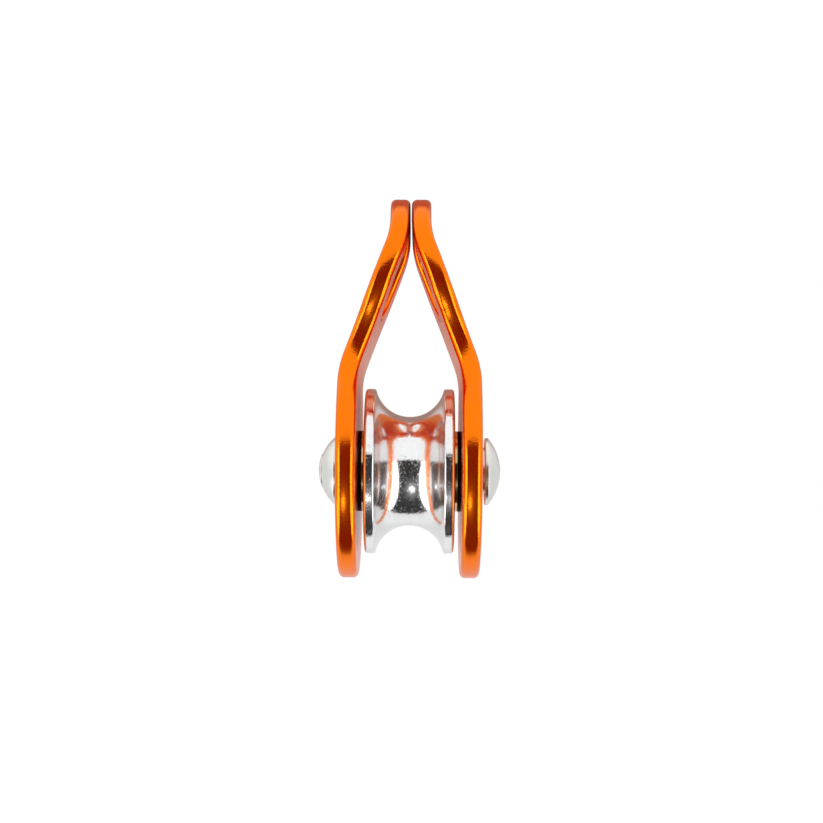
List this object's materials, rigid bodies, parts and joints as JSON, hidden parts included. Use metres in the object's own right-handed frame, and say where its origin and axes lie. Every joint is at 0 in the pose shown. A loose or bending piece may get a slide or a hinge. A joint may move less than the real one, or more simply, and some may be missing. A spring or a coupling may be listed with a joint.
{
  "type": "rope pulley",
  "caption": "Swing-cheek rope pulley: two bent anodised side plates that meet at a carabiner eye, with a polished grooved sheave on a bronze bush and a riveted axle.",
  "frame": {"origin": "centre of the carabiner eye, midway between the side plates", "axes": "+X along the axle towards the smooth rivet head, +Z from the axle up to the eye, +Y across the side plates"},
  "size_m": [0.0379, 0.047, 0.0792],
  "materials": {
    "anodised_orange": "gloss",
    "polished_aluminium": "polished",
    "bronze": "satin",
    "black_polymer": "matte",
    "stainless": "satin"
  },
  "bodies": {
    "left_cheek": {"left_side_plate": "anodised_orange"},
    "right_cheek": {"right_side_plate": "anodised_orange"},
    "wheel": {"sheave": "polished_aluminium", "bronze_bush": "bronze"},
    "axle": {"axle_sleeve": "stainless", "axle_rivet": "stainless", "left_dome_cap": "stainless"},
    "left_washer": {"left_thrust_washer": "black_polymer"},
    "right_washer": {"right_thrust_washer": "black_polymer"}
  },
  "joints": [
    {"name": "right_cheek_swing", "type": "hinge", "parent": "left_cheek", "child": "right_cheek", "pos_m": [0, 0, -0.04125], "axis": [1, 0, 0], "continuous": true},
    {"name": "sheave_spin", "type": "hinge", "parent": "left_cheek", "child": "wheel", "pos_m": [0, 0, -0.04125], "axis": [1, 0, 0], "continuous": true},
    {"name": "axle_turn", "type": "hinge", "parent": "left_cheek", "child": "axle", "pos_m": [0, 0, -0.04125], "axis": [1, 0, 0], "continuous": true},
    {"name": "left_washer_turn", "type": "hinge", "parent": "left_cheek", "child": "left_washer", "pos_m": [0, 0, -0.04125], "axis": [1, 0, 0], "continuous": true},
    {"name": "right_washer_turn", "type": "hinge", "parent": "left_cheek", "child": "right_washer", "pos_m": [0, 0, -0.04125], "axis": [1, 0, 0], "continuous": true}
  ]
}
